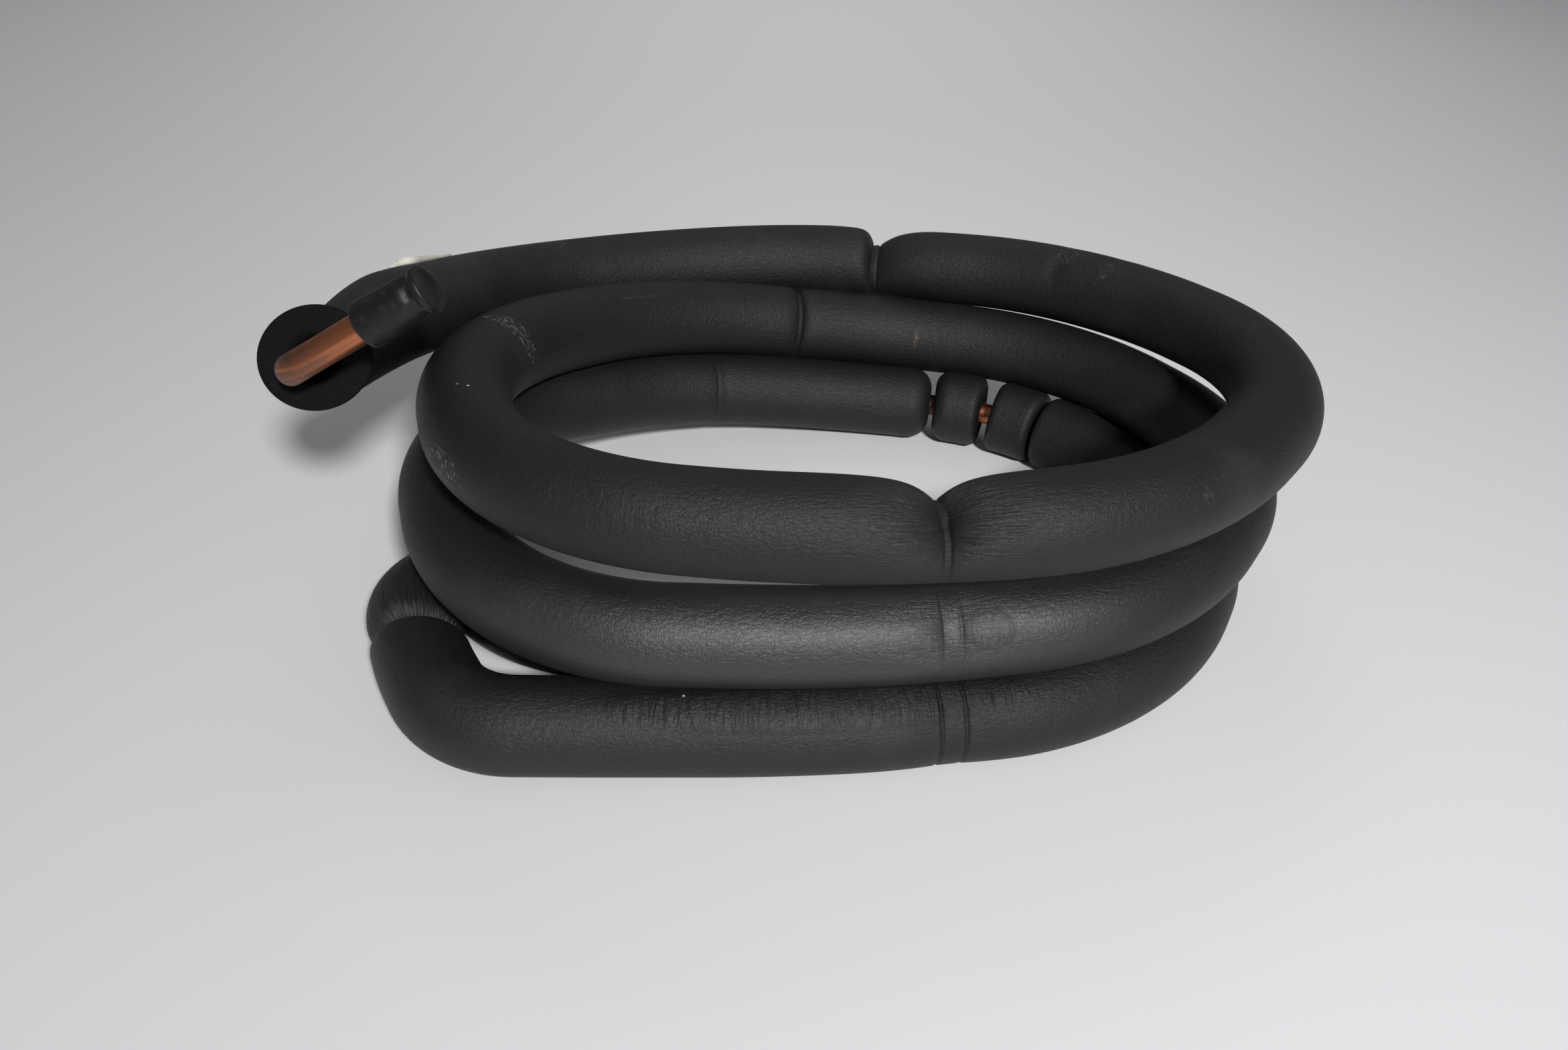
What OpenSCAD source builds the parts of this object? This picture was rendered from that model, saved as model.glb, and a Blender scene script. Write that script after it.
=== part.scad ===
// Insulated copper tube, stored as a loose coil of three open turns.
// Millimetres, floor at Z = 0. The tube runs clockwise from its capped end, at the top left, to the end
// tucked under the second turn, on the floor.

/* [Copper tube] */
// Outside diameter of the tube
tube_od = 10; // [8:0.1:10.2]
// Thickness of the tube's wall
tube_wall = 0.8; // [0.6:0.05:1.2]
// Radius of the bend at the capped end
tip_bend_r = 12; // [10:0.5:14]
// Bare tube between the sleeve's end and that bend
tip_bare = 7; // [4:0.5:10]
// Bare tube at the tucked end
stub_len = 20; // [12:1:22]

/* [Foam sleeves] */
// Outside diameter of the foam, with a 12.5 mm wall
sleeve_od = 35; // [33:0.5:35]
// Bore of the foam, for 10 mm tube
sleeve_bore = 10.5; // [10.4:0.1:11]
// Radius of the rounded outer edge at each cut
sleeve_edge = 2.5; // [0.5:0.25:3]
// How far the foam's mouth stands open round the tube at the capped end
sleeve_mouth = 2.5; // [0:0.5:4]
// How far the foam draws in behind its mouth
sleeve_neck = 2; // [0:0.5:3]
// How far the cut at the capped end leans from square, as a slope
sleeve_lean = 0.4; // [0:0.05:0.45]
// Length of each of the two short sleeves
short_len = 25; // [15:1:30]
// Gap between two sleeves that the bend has pulled apart
gap_wide = 4.5; // [2:0.5:6]
// Gap between two sleeves that almost meet
gap_narrow = 2; // [1:0.5:3]

/* [Strap marks] */
// How deep the straps have cut into the foam of the top turn
mark_deep = 10; // [3:0.5:10.5]
// How deep the straps have marked the lower turns
mark_shallow = 3; // [2:0.5:6]

/* [End cap] */
// Outside diameter of the cap
cap_od = 15.4; // [13:0.2:17]
// Length of the cap
cap_len = 25; // [23:1:30]
// Depth of the cap's bore
cap_bore_len = 20; // [12:1:21]

/* [Tape] */
// Length of the strip of tape on the free end
tape_len = 36; // [20:1:45]
// Thickness of the tape with its loose edge
tape_t = 1.8; // [0.6:0.2:2.4]

/* [Hidden] */
$fn = 48;

// Middle of the coil, seen from above
coil_mid = [12, -4];
// How far the route's corners stand from the middle, at each eighth of a turn, clockwise from the rear
turn_reach = [[150, 165, 182, 147, 130, 175, 168, 135],
              [126, 151, 172, 147, 125, 186, 182, 124],
              [104, 129, 162, 150, 132, 198]];
// Height of the tube's axis at those corners: the last turn lies on the floor
on_floor = sleeve_od / 2;
turn_height = [[72, 81, 92, 97, 99, 100, 86, 63],
               [46, 47, 52, 55, 52, 54, 53, 27],
               [for (k = [0:5]) on_floor]];
// The free end: its bent tip, its run over the left side, and the bend into the first turn
tip_corner = [-180, -107, 130];
tip_end = tip_corner + 56 * unit([0.87, 0.05, 0.54]);
head_corners = [tip_end, tip_corner, [-172, -41, 119], [-157, 81, 78], [-77, 135, 70]];
// The tucked end turns back behind the front of the last turn
tail_plan = [[-150, -110], [-161, -79], [-145, -63.5], [-104, -95], [-47, -86]];
tail_corners = [for (p = tail_plan) [p.x, p.y, on_floor]];

function eighth(k, reach, z) = [coil_mid.x + reach * sin(45 * k), coil_mid.y + reach * cos(45 * k), z];
turn_corners = [for (turn = [0:len(turn_reach) - 1]) for (k = [0:len(turn_reach[turn]) - 1])
                    eighth(k, turn_reach[turn][k], turn_height[turn][k])];
corners = concat(head_corners, turn_corners, tail_corners);
last = len(corners) - 1;

// Each corner of the route is rounded by an arc that is tangent to both of its edges
function unit(v) = v / norm(v);
function edge(i) = corners[i + 1] - corners[i];
function way(i) = unit(edge(i));
function turn_angle(i) = acos(way(i - 1) * way(i));
function room(i) = min(0.5 * norm(edge(i - 1)), (i == last - 1 ? 0.6 : 0.5) * norm(edge(i)));
function setback(i) = i == 0 || i == last ? 0 : i == 1 ? tip_bend_r * tan(turn_angle(1) / 2) : room(i);
function arc_r(i) = setback(i) / tan(turn_angle(i) / 2);
function inward(i) = unit(way(i) - (way(i) * way(i - 1)) * way(i - 1));
function straight_len(i) = max(0, norm(edge(i)) - setback(i) - setback(i + 1));
function arc_len(i) = arc_r(i) * turn_angle(i) * PI / 180;

// The route as rows of [start point, direction, side it bends to, bend radius or 0, length]
route = [for (i = [0:last - 1]) each concat(
    straight_len(i) > 0.01
        ? [[corners[i] + setback(i) * way(i), way(i), inward(max(1, i)), 0, straight_len(i)]] : [],
    i + 1 < last
        ? [[corners[i + 1] - setback(i + 1) * way(i), way(i), inward(i + 1), arc_r(i + 1), arc_len(i + 1)]]
        : [])];
function total(v, n) = n <= 0 ? 0 : v[n - 1] + total(v, n - 1);
run_lens = [for (run = route) run[4]];
run_starts = [for (i = [0:len(route)]) total(run_lens, i)];
route_len = run_starts[len(route)];

// Distance along the route to the middle of corner i
function before(i) = [for (j = [0:i - 1]) straight_len(j) + (j > 0 ? arc_len(j) : 0)];
function corner_at(i) = total(before(i), i) + arc_len(i) / 2;
function turn_at(turn, k) = corner_at(len(head_corners) + 8 * turn + k);

// Point and direction of the route at distance s
function run_at(s, i = 0) = i + 1 >= len(route) || s < run_starts[i + 1] ? i : run_at(s, i + 1);
function along(run, d) = run[3] == 0 ? [run[0] + d * run[1], run[1]]
    : let (a = d / run[3] * 180 / PI) [run[0] + run[3] * ((1 - cos(a)) * run[2] + sin(a) * run[1]),
                                       cos(a) * run[1] + sin(a) * run[2]];
function at(s) = let (i = run_at(s)) along(route[i], s - run_starts[i]);
function outside(tangent) = unit(cross([0, 0, 1], tangent));

// Where the sleeves begin and end
sleeve_start = run_starts[2] + tip_bare;
short_1_at = turn_at(2, 0) + 43;
short_2_at = short_1_at + short_len + gap_wide;
lower_at = short_2_at + short_len + gap_narrow;
lower_end = corner_at(len(corners) - 5) + 6;
tail_at = lower_end + gap_wide / 2;
sleeve_end = route_len - stub_len;

// Strap marks: distance along the route, depth, side that they are deepest on, in degrees from the
// outside, and half of their width
strap_marks = [[turn_at(0, 0) + 11, mark_deep, 80, 14], [turn_at(0, 4) - 19, mark_deep, 75, 30],
               [turn_at(1, 0) - 31, mark_shallow, 160, 9], [turn_at(1, 4) - 26, mark_shallow, 60, 10],
               [turn_at(2, 0) - 71, mark_shallow, 160, 9], [turn_at(2, 4) - 28.5, mark_shallow, 60, 10]];
function mark_shape(u) = abs(u) < 1 ? pow(1 - abs(u), 2) : 0;
function mark_depth(s, a) = max([for (m = strap_marks)
    m[1] * mark_shape((s - m[0]) / m[3]) * (0.55 + 0.45 * cos(a - m[2]))]);

// The foam is drawn in a little behind its open mouth
neck_at = sleeve_start + 20;
neck_half = 18;
function neck_depth(s) = sleeve_neck * max(0, 1 - pow((s - neck_at) / neck_half, 2));

// The cut at the capped end leans, its upper inner side set back
lean_len = 24;
lean_side = 145;
function lean_at(s) = sleeve_lean * max(0, 1 - (s - sleeve_start) / lean_len);

// Distances at which a piece between two ends is sectioned: finer in bends, at its ends and at strap marks
bend_step = 15;
function bend_parts(i) = route[i][3] == 0 ? 1 : ceil(run_lens[i] / route[i][3] * 180 / PI / bend_step);
function bend_stations(i) = [for (k = [0:bend_parts(i) - 1]) run_starts[i] + run_lens[i] * k / bend_parts(i)];
route_stations = [for (i = [0:len(route) - 1]) each bend_stations(i)];
mark_stations = [for (m = strap_marks) for (u = [-1, -0.5, -0.2, 0, 0.2, 0.5, 1]) m[0] + u * m[3]];
neck_stations = [for (u = [-0.5, 0, 0.5, 1]) neck_at + u * neck_half];
function sorted(v) = len(v) < 2 ? v : let (p = v[floor(len(v) / 2)])
    concat(sorted([for (x = v) if (x < p) x]), [p], sorted([for (x = v) if (x > p) x]));
function stations(list, from, to) = let (inner = sorted([for (s = list) if (s > from && s < to) s]))
    [for (i = [0:len(inner) - 1]) if (i == 0 || inner[i] - inner[i - 1] > 1) inner[i]];

// Ring of points around the route at distance s, with one radius for each point, from the outside upwards.
// On the inner side of a bend that is tighter than the foam is thick, the ring is squeezed flat.
squeeze_margin = 2;
function squeezed(q, side, limit) = q - max(0, q * side - limit) * side;
function ring(s, radii, lean = 0) =
    let (i = run_at(s), here = at(s), n = len(radii), out = outside(here[1]), up = cross(here[1], out),
         bend = route[i][3], a = bend == 0 ? 0 : (s - run_starts[i]) / bend * 180 / PI,
         side = cos(a) * route[i][2] - sin(a) * route[i][1], limit = bend == 0 ? 100 : bend - squeeze_margin)
    [for (k = [0:n - 1])
        here[0] + squeezed(radii[k] * (cos(360 * k / n) * out + sin(360 * k / n) * up), side, limit)
        + lean * radii[k] * cos(360 * k / n - lean_side) * here[1]];

// A closed hollow sweep: outer rings and inner rings, as lists of rings from one end to the other
module swept_tube(outer, inner) {
    n = len(outer[0]);
    m = len(outer);
    function o(i, k) = i * n + k % n;
    function b(i, k) = m * n + o(i, k);
    walls = [for (i = [0:m - 2]) for (k = [0:n - 1]) each
        [[o(i, k), o(i + 1, k), o(i + 1, k + 1)], [o(i, k), o(i + 1, k + 1), o(i, k + 1)],
         [b(i, k), b(i + 1, k + 1), b(i + 1, k)], [b(i, k), b(i, k + 1), b(i + 1, k + 1)]]];
    ends = [for (k = [0:n - 1]) each
        [[o(0, k), o(0, k + 1), b(0, k + 1)], [o(0, k), b(0, k + 1), b(0, k)],
         [o(m - 1, k), b(m - 1, k + 1), o(m - 1, k + 1)], [o(m - 1, k), b(m - 1, k), b(m - 1, k + 1)]]];
    polyhedron([for (r = concat(outer, inner)) each r], concat(walls, ends), convexity = 20);
}

// Puts children, drawn along Z, on the route with their X axis to the outside
module place(p, x, y, z)
    multmatrix([[x[0], y[0], z[0], p[0]], [x[1], y[1], z[1], p[1]], [x[2], y[2], z[2], p[2]], [0, 0, 0, 1]])
        children();
module on_route(s, len) {
    here = at(s + len / 2);
    out = outside(here[1]);
    place(here[0] - len / 2 * here[1], out, cross(here[1], out), here[1]) children();
}

// Copper tube: its two straight ends are drawn tube, and the bent length between them is swept
tube_sides = 10;
tip_straight = straight_len(0) - 6;
lap = 5;
function same(r, n) = [for (k = [1:n]) r];
module straight_tube(s, len) on_route(s, len) difference() {
    cylinder(d = tube_od, h = len);
    translate([0, 0, -1]) cylinder(d = tube_od - 2 * tube_wall, h = len + 2);
}
module copper_tube() color("sienna") {
    from = tip_straight;
    to = sleeve_end;
    middle = concat([from + 0.6], stations(route_stations, from + 1, to - 1), [to - 0.6]);
    thin = tube_wall * 0.1;
    bore_r = tube_od / 2 - tube_wall;
    lap_outer = same(tube_od / 2 - thin, tube_sides);
    lap_inner = same((bore_r + thin) / cos(180 / tube_sides), tube_sides);
    swept_tube(
        concat([ring(from - lap, lap_outer), ring(from + 0.3, lap_outer)],
               [for (s = middle) ring(s, same(tube_od / 2, tube_sides))],
               [ring(to - 0.3, lap_outer), ring(to + lap, lap_outer)]),
        concat([ring(from - lap, lap_inner), ring(from + 0.3, lap_inner)],
               [for (s = middle) ring(s, same(bore_r, tube_sides))],
               [ring(to - 0.3, lap_inner), ring(to + lap, lap_inner)]));
    straight_tube(0, tip_straight);
    straight_tube(to, stub_len);
}

// Foam sleeve between two distances, with rounded cut edges and its strap marks
sleeve_sides = 16;
mouth_len = 14;
function edge_round(d) = d >= sleeve_edge ? 0
    : sleeve_edge - sqrt(max(0, pow(sleeve_edge, 2) - pow(sleeve_edge - d, 2)));
module sleeve(from, to, mouth = 0) color("#2b2b2d") {
    ends = [0, 0.15, 0.5, 1] * sleeve_edge;
    margin = sleeve_edge + 1.5;
    extra = mouth > 0 ? neck_stations : [];
    where = concat([for (d = ends) from + d],
                   stations(concat(route_stations, mark_stations, extra), from + margin, to - margin),
                   [for (k = [3:-1:0]) to - ends[k]]);
    at_mouth = mouth > 0 ? 1 : 0;
    swept_tube([for (s = where) ring(s, [for (k = [0:sleeve_sides - 1])
                    sleeve_od / 2 - edge_round(min(s - from, to - s)) - mark_depth(s, 360 * k / sleeve_sides)
                    - at_mouth * neck_depth(s)], at_mouth * lean_at(s))],
               [for (s = where) ring(s, same(sleeve_bore / 2 + mouth * max(0, 1 - (s - from) / mouth_len),
                                             sleeve_sides), at_mouth * lean_at(s))]);
}
module sleeve_upper() sleeve(sleeve_start, short_1_at - gap_wide, max(0.01, sleeve_mouth));
module sleeve_short_1() sleeve(short_1_at, short_1_at + short_len);
module sleeve_short_2() sleeve(short_2_at, short_2_at + short_len);
module sleeve_lower() sleeve(lower_at, lower_end);
module sleeve_tail() sleeve(tail_at, sleeve_end);

// Strip of tape that lies on the free end, just over its top towards the outside
tape_at = sleeve_start + 92;
tape_angles = [30, 40, 50, 60, 70];
module seam_tape() color("ivory") {
    inner = sleeve_od / 2 + 0.4;
    on_route(tape_at, tape_len) linear_extrude(tape_len)
        polygon(concat([for (a = tape_angles) inner * [cos(a), sin(a)]],
                       [for (k = [4:-1:0]) (inner + tape_t) * [cos(tape_angles[k]), sin(tape_angles[k])]]));
}

module end_cap() color("black") {
    base = tip_end - (cap_len - cap_bore_len) * way(0);
    place(base, inward(1), cross(way(0), inward(1)), way(0)) difference() {
        rotate_extrude() cap_half();
        translate([0, 0, cap_len - cap_bore_len]) cylinder(d = tube_od, h = cap_bore_len + 1);
    }
}
// Half section of the cap: a rim round its dished end, a pinched neck behind the rim, and a slimmer body
cap_rim = 2;
module cap_half() {
    r = cap_od / 2;
    neck = r - 1.3;
    body = r - 0.5;
    polygon([[0, 0.8], [r - 2, 0.8], [r - 1.6, 0], [r - 0.6, 0], [r, 0.6], [r, cap_rim],
             [neck, cap_rim + 1], [neck, cap_rim + 2.4], [body, cap_rim + 4.5],
             [body, cap_len - 1], [neck, cap_len], [0, cap_len]]);
}

copper_tube();
end_cap();
sleeve_upper();
sleeve_short_1();
sleeve_short_2();
sleeve_lower();
sleeve_tail();
seam_tape();
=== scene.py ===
"""Dresses a loose coil of foam-insulated copper tube.

The foam sleeves, the bare tube, the end cap and the tape stand on a plain stage. The file is laid out as an
add-on and run as a script. Sizes are in metres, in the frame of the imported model.
"""

import math
from typing import NamedTuple

import bpy
import numpy as np
from mathutils import Matrix, Vector


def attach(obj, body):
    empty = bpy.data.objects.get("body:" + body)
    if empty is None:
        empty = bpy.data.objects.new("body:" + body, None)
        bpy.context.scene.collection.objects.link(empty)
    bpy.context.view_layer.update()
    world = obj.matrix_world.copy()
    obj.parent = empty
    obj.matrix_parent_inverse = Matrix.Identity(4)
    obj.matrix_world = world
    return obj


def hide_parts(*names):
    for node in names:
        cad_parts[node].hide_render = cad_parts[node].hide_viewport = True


bl_info = {
    "name": "Insulated tube coil",
    "version": (1, 0, 0),
    "blender": (4, 5, 0),
    "location": "View3D > Sidebar > Tube coil",
    "description": "Builds a loose coil of foam-insulated copper tube over its packed solids",
    "category": "Add Mesh",
}

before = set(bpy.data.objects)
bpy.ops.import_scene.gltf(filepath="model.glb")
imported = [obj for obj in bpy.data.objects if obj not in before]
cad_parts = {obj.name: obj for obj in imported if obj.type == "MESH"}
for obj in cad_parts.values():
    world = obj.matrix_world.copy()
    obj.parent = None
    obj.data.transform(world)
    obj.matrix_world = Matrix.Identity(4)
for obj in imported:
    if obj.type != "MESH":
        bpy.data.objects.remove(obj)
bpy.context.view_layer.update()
BODY = "root"
MM = 0.001
UP = (0.0, 0.0, 1.0)
FOAM_R = 17.5 * MM
FOAM_ROUND = 2 * math.pi * FOAM_R

# The route's corners, in millimetres: those of the part's source, with five heights changed by 1.5 mm at most
COIL_MIDDLE = (12, -4)
EIGHTHS = 8
TURN_REACH = (
    (150, 165, 182, 147, 130, 175, 168, 135),
    (126, 151, 172, 147, 125, 186, 182, 124),
    (104, 129, 162, 150, 132, 198),
)
TURN_HEIGHT = (
    (72, 79.5, 92, 97, 99, 100, 86, 63),
    (45, 46.2, 52, 55, 52, 54, 53, 28),
    (17.5, 17.5, 17.5, 17.5, 17.5, 17.5),
)
TIP_CORNER = (-180, -107, 130)
TIP_WAY = (0.87, 0.05, 0.54)
TIP_LENGTH = 56
HEAD_CORNERS = ((-172, -41, 117.5), (-157, 81, 78), (-77, 135, 70))
TAIL_PLAN = ((-150, -110), (-161, -79), (-145, -63.5), (-104, -95), (-47, -86))

# The corner that begins the turns, the tail's tight bend counted from the end, and the run after the tip's bend
TURNS_FROM = 5
TAIL_BEND_FROM_END = 3
AFTER_TIP_BEND = 2

# Where the short sleeves begin, from the rear middle of the lowest turn
SHORT_FROM = 43 * MM


def unit(v):
    return v / np.linalg.norm(v, axis=-1, keepdims=True)


def across(way):
    """The level direction across a way, and the one that points up from both."""
    out = unit(np.cross(UP, way))
    return out, np.cross(way, out)


def round_angles(sides):
    return np.arange(sides) * (2 * math.pi / sides)


def bell(distance, width):
    """1 at no distance, falling away smoothly on both sides."""
    return np.exp(-((distance / width) ** 2))


class Route:
    """The tube's centre line: corners, each rounded by an arc that is tangent to both of its edges."""

    STRAIGHT = 1e6
    SHORTEST = 0.01 * MM
    ARC_SHARE = 0.5
    LAST_ARC_SHARE = 0.6
    SQUEEZE = 2 * MM

    def __init__(self, corners, tip_radius):
        edges = np.diff(corners, axis=0)
        lengths = np.linalg.norm(edges, axis=1)
        ways = unit(edges)
        last = len(corners) - 1
        turns = np.arccos((ways[:-1] * ways[1:]).sum(axis=1))
        backs = np.zeros(last + 1)
        for i in range(1, last):
            share = self.LAST_ARC_SHARE if i == last - 1 else self.ARC_SHARE
            backs[i] = min(self.ARC_SHARE * lengths[i - 1], share * lengths[i])
        backs[1] = tip_radius * math.tan(turns[0] / 2)
        runs = []
        self.middles = {}
        done = 0.0
        for i in range(last):
            straight = lengths[i] - backs[i] - backs[i + 1]
            bend = min(i, last - 2)
            side = unit(ways[bend + 1] - (ways[bend + 1] @ ways[bend]) * ways[bend])
            if straight > self.SHORTEST:
                runs.append((done, corners[i] + backs[i] * ways[i], ways[i], side, self.STRAIGHT))
                done += straight
            if i + 1 < last:
                radius = backs[i + 1] / math.tan(turns[i] / 2)
                runs.append((done, corners[i + 1] - backs[i + 1] * ways[i], ways[i], side, radius))
                self.middles[i + 1] = done + radius * turns[i] / 2
                done += radius * turns[i]
        self.length = done
        columns = [np.array(part) for part in zip(*runs)]
        self.starts, self.points, self.ways, self.sides, self.radii = columns

    def turn_at(self, turn, eighth):
        """Distance to the middle of a corner of the turns."""
        return self.middles[TURNS_FROM + EIGHTHS * turn + eighth]

    def at(self, s):
        """Points, directions, inner sides and bend radii at distances s."""
        run = np.clip(np.searchsorted(self.starts, s, "right") - 1, 0, len(self.starts) - 1)
        radius = self.radii[run][:, None]
        angle = (s - self.starts[run])[:, None] / radius
        way = self.ways[run]
        side = self.sides[run]
        point = self.points[run] + radius * ((1 - np.cos(angle)) * side + np.sin(angle) * way)
        way_here = np.cos(angle) * way + np.sin(angle) * side
        side_here = np.cos(angle) * side - np.sin(angle) * way
        return point, way_here, side_here, radius

    def rings(self, s, radius, angles, ahead=None):
        """Rings of points around the route, moved ahead along it.

        Angles run from the outside upwards. The inner side of a bend that is tighter than the ring is pressed
        flat.
        """
        point, way, inner, bend = self.at(s)
        out, up = across(way)
        spoke = np.cos(angles)[:, None] * out[:, None] + np.sin(angles)[:, None] * up[:, None]
        offset = radius[:, :, None] * spoke
        over = (offset * inner[:, None]).sum(axis=2) - (bend - self.SQUEEZE)
        offset -= np.maximum(0, over)[:, :, None] * inner[:, None]
        if ahead is not None:
            offset += ahead[:, :, None] * way[:, None]
        return point[:, None] + offset


def build_route(tip_radius):
    """The route of the whole tube, from its capped end to its tucked end."""
    tip = np.array(TIP_CORNER, float)
    corners = [tip + TIP_LENGTH * unit(np.array(TIP_WAY)), tip]
    corners += [np.array(c, float) for c in HEAD_CORNERS]
    for reaches, heights in zip(TURN_REACH, TURN_HEIGHT):
        for k, (reach, height) in enumerate(zip(reaches, heights)):
            a = math.radians(360 / EIGHTHS * k)
            x = COIL_MIDDLE[0] + reach * math.sin(a)
            y = COIL_MIDDLE[1] + reach * math.cos(a)
            corners.append(np.array((x, y, height)))
    corners += [np.array((x, y, FOAM_R / MM)) for x, y in TAIL_PLAN]
    return Route(np.array(corners) * MM, tip_radius)


# Sizes and colours

def number(name, description, default, unit="NONE"):
    return bpy.props.FloatProperty(
        name=name, description=description, default=default, unit=unit, precision=4
    )


def size(name, description, default):
    return number(name, description, default, "LENGTH")


def watts(name, description, default):
    return number(name, description, default, "POWER")


def colour(name, description, default):
    return bpy.props.FloatVectorProperty(
        name=name, description=description, default=default, subtype="COLOR", size=3, min=0.0, max=1.0
    )


class CoilTube(bpy.types.PropertyGroup):
    """Sizes and colours of the copper tube"""

    diameter: size("Tube diameter", "Outside diameter of the copper tube", 10 * MM)
    wall: size("Tube wall", "Thickness of the copper", 0.8 * MM)
    tip_radius: size("Tip bend", "Bend radius at the capped end", 12 * MM)
    tip_bare: size("Bare tip", "Bare tube between the foam and the bend at the capped end", 7 * MM)
    stub: size("Stub", "Bare tube at the tucked end", 20 * MM)
    # These two colours also paint the tube's reflections, as stripes that alternate between them
    bright: colour("Bright copper", "Colour of clean copper", (0.62, 0.22, 0.105))
    dull_and_painted_reflection: colour("Dull copper", "Colour of brown, tarnished copper", (0.19, 0.105, 0.078))


class CoilFoam(bpy.types.PropertyGroup):
    """Sizes and colours of the foam sleeves"""

    bore: size("Bore", "Bore of the foam", 10.5 * MM)
    mouth: size("Mouth", "How far the foam stands open round the tube at the capped end", 3 * MM)
    neck: size("Neck", "How far the foam draws in behind its cut at the capped end", 10 * MM)
    lean: number("Lean", "Slope of that cut", 0.4)
    set_off: bpy.props.FloatVectorProperty(
        name="Set off",
        description="How far that cut stands off the tube's axis",
        default=(2.4 * MM, 0, 1.0 * MM),
        subtype="TRANSLATION",
        unit="LENGTH",
        precision=4,
    )
    short: size("Short sleeve", "Length of each short sleeve", 25 * MM)
    gap_wide: size("Wide gap", "Gap between sleeves that the bend has pulled apart", 4.5 * MM)
    gap_narrow: size("Narrow gap", "Gap between sleeves that almost meet", 2 * MM)
    mark_deep: size("Deep marks", "Depth of the strap marks on the top turn", 11 * MM)
    mark_shallow: size("Shallow marks", "Depth of the strap marks on the lower turns", 2.4 * MM)
    cut: colour("Cut foam", "Colour of the foam where it is cut", (0.004, 0.004, 0.0041))
    skin: colour("Foam skin", "Colour of the foam's skin", (0.0085, 0.0085, 0.0087))
    scuff: colour("Scuff", "Colour of the few brownish scuffs on the foam", (0.20, 0.14, 0.11))
    # This colour also lays the painted sheen, the painted highlights and the painted glints on the foam's skin
    dust_and_sheen: colour("Dust", "Colour of dust and worn skin on the foam", (0.16, 0.155, 0.15))
    chalk: colour("Chalk", "Colour of the pale specks on the foam", (0.55, 0.55, 0.53))


class CoilCap(bpy.types.PropertyGroup):
    """Sizes and colours of the end cap"""

    diameter: size("Cap diameter", "Outside diameter over the cap's rim", 15.4 * MM)
    length: size("Cap length", "Length of the cap", 25 * MM)
    depth: size("Cap depth", "Depth of the cap's bore", 20 * MM)
    plastic: colour("Cap plastic", "Colour of the cap", (0.006, 0.006, 0.0063))
    scuff: colour("Cap scuff", "Colour of the scuffs on the cap", (0.05, 0.05, 0.054))


class CoilTape(bpy.types.PropertyGroup):
    """Sizes and colours of the tape"""

    start: size("Tape start", "Distance of the tape from the foam's mouth", 86 * MM)
    length: size("Tape length", "Length of the strip of tape", 45 * MM)
    thickness: size("Tape thickness", "Thickness of the tape", 0.5 * MM)
    lift: size("Tape lift", "How far the start of the tape curls up", 2.4 * MM)
    paper: colour("Tape paper", "Colour of the tape", (0.72, 0.69, 0.60))
    crease: colour("Tape crease", "Colour of the tape's creases", (0.52, 0.47, 0.38))


class CoilStage(bpy.types.PropertyGroup):
    """Colours of the floor and strengths of the light"""

    floor: colour("Floor", "Colour of the floor", (0.86, 0.865, 0.88))
    cloud: colour("Floor cloud", "Colour of the floor's faint clouds", (0.72, 0.72, 0.74))
    key: watts("Key lamp", "Power of the lamp above and behind the camera", 8.4)
    rear: watts("Rear lamp", "Power of the large lamp above and behind the coil", 2.4)
    sky: number("Sky", "Strength of the light from all round", 0.15)
    sky_tint: colour("Sky tint", "Colour of the light from all round", (0.95, 0.97, 1.0))


# Shader maths

class Wire:
    """A shader socket that takes part in Python expressions."""

    def __init__(self, net, socket):
        self.net = net
        self.socket = socket

    def math(self, operation, *values):
        return self.net.node("ShaderNodeMath", {"operation": operation}, dict(enumerate(values)))

    def __add__(self, other):
        return self.math("ADD", self, other)

    __radd__ = __add__

    def __sub__(self, other):
        return self.math("SUBTRACT", self, other)

    def __rsub__(self, other):
        return self.math("SUBTRACT", other, self)

    def __mul__(self, other):
        return self.math("MULTIPLY", self, other)

    __rmul__ = __mul__

    def __truediv__(self, other):
        return self.math("DIVIDE", self, other)

    def __rtruediv__(self, other):
        return self.math("DIVIDE", other, self)

    def __pow__(self, other):
        return self.math("POWER", self, other)

    def __gt__(self, other):
        return self.math("GREATER_THAN", self, other)

    def __abs__(self):
        return self.math("ABSOLUTE", self)

    def ramp(self, low, high):
        """0 at low and 1 at high, level beyond them and smooth between them."""
        settings = {"interpolation_type": "SMOOTHSTEP"}
        return self.net.node("ShaderNodeMapRange", settings, {0: self, 1: low, 2: high, 3: 0.0, 4: 1.0})


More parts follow.
